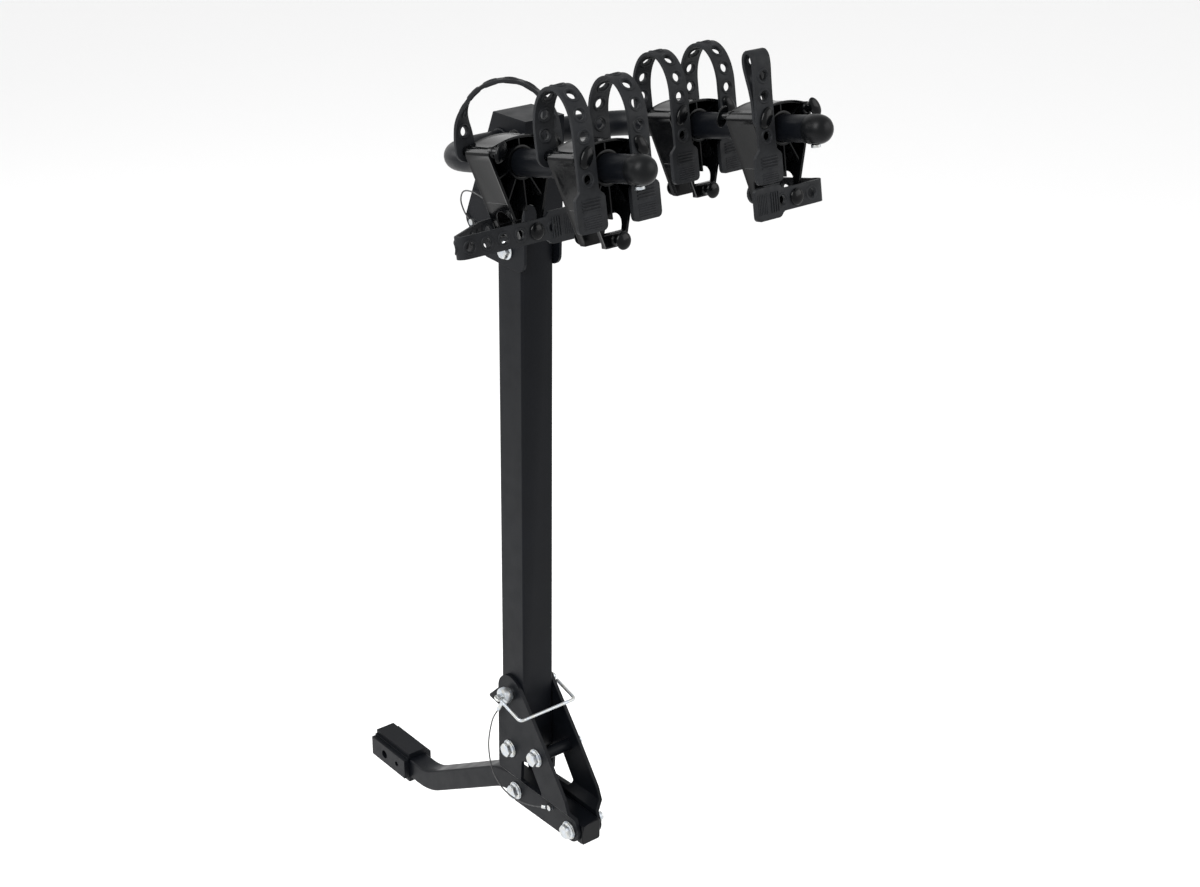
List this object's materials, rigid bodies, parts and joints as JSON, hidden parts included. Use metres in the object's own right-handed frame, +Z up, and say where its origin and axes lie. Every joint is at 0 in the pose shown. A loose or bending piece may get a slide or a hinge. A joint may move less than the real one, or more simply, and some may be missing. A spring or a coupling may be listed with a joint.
{
  "type": "hitch mounted bike rack",
  "caption": "Hanging bike rack for a hitch receiver: tilting mast, folding tube arms and turning cradles with rubber straps.",
  "frame": {"origin": "centre of the hitch pin hole, on the axis of the shank and its adapter sleeve", "axes": "+X across the car along the hitch pin hole, +Y towards the car, +Z up"},
  "size_m": [0.424, 0.7648, 1.2431],
  "materials": {
    "black_powder_coat": "satin",
    "zinc": "zinc plated",
    "cradle_plastic": "glossy",
    "cap_plastic": "glossy",
    "cable_jacket": "matte",
    "rubber": "matte"
  },
  "bodies": {
    "base": {"shank": "black_powder_coat", "shank_end_cap": "cap_plastic", "near_side_plate": "black_powder_coat", "far_side_plate": "black_powder_coat", "stop_spacer": "black_powder_coat", "frame_bolts": "zinc", "frame_nuts": "zinc", "frame_washers": "zinc", "mast_pivot_bolt": "zinc", "mast_pivot_nut": "zinc", "mast_pin_cable": "cable_jacket", "mast_cable_ferrules": "zinc", "cable_anchor_ring": "zinc", "mast_lock_pin": "zinc"},
    "sleeve": {"adapter_sleeve": "black_powder_coat"},
    "mast": {"mast_tube": "black_powder_coat", "mast_pivot_bush": "zinc", "head_pivot_bush": "zinc"},
    "head": {"head_bracket": "black_powder_coat", "arm_tube": "black_powder_coat", "near_arm_cap": "cap_plastic", "far_arm_cap": "cap_plastic", "arm_cap_screws": "zinc", "head_pivot_bolt": "zinc", "head_pivot_nut": "zinc", "head_pin_cable": "cable_jacket", "head_lock_pin": "zinc", "head_pin_clip": "zinc", "head_cable_ferrules": "zinc"},
    "near_inner": {"near_inner_cradle": "cradle_plastic", "near_inner_strap": "rubber", "near_sway_strap": "rubber"},
    "near_outer": {"near_outer_cradle": "cradle_plastic", "near_outer_strap_left": "rubber", "near_outer_strap_right": "rubber"},
    "far_inner": {"far_inner_cradle": "cradle_plastic", "far_inner_strap_left": "rubber", "far_inner_strap_right": "rubber"},
    "far_outer": {"far_outer_cradle": "cradle_plastic", "far_outer_strap": "rubber", "far_sway_strap": "rubber"},
    "mast_bail": {"mast_pin_bail": "zinc"}
  },
  "joints": [
    {"name": "sleeve_slide", "type": "slide", "parent": "base", "child": "sleeve", "axis": [0, 1, 0], "range_m": [0, 0.08]},
    {"name": "mast_tilt", "type": "hinge", "parent": "base", "child": "mast", "pos_m": [0, -0.34, 0.19], "axis": [1, 0, 0], "range_deg": [0, 42]},
    {"name": "mast_bail_open", "type": "hinge", "parent": "base", "child": "mast_bail", "pos_m": [-0.0505, -0.34, 0.28], "axis": [0, 0.2588, -0.9659], "range_deg": [0, 101]},
    {"name": "head_fold", "type": "hinge", "parent": "mast", "child": "head", "pos_m": [0, -0.34, 0.928], "axis": [1, 0, 0], "range_deg": [0, 100]},
    {"name": "near_inner_turn", "type": "hinge", "parent": "head", "child": "near_inner", "pos_m": [-0.13, -0.4835, 1.09271], "axis": [0, -0.9839, 0.1788], "range_deg": [-35, 35]},
    {"name": "near_outer_turn", "type": "hinge", "parent": "head", "child": "near_outer", "pos_m": [-0.13, -0.63404, 1.12007], "axis": [0, -0.9839, 0.1788], "range_deg": [-35, 35]},
    {"name": "far_inner_turn", "type": "hinge", "parent": "head", "child": "far_inner", "pos_m": [0.13, -0.49334, 1.0945], "axis": [0, -0.9839, 0.1788], "range_deg": [-35, 35]},
    {"name": "far_outer_turn", "type": "hinge", "parent": "head", "child": "far_outer", "pos_m": [0.13, -0.63404, 1.12007], "axis": [0, -0.9839, 0.1788], "range_deg": [-35, 35]}
  ],
  "couplings": [
    {"joint": "mast_bail_open", "follows": "mast_tilt", "ratio": 2.4}
  ]
}
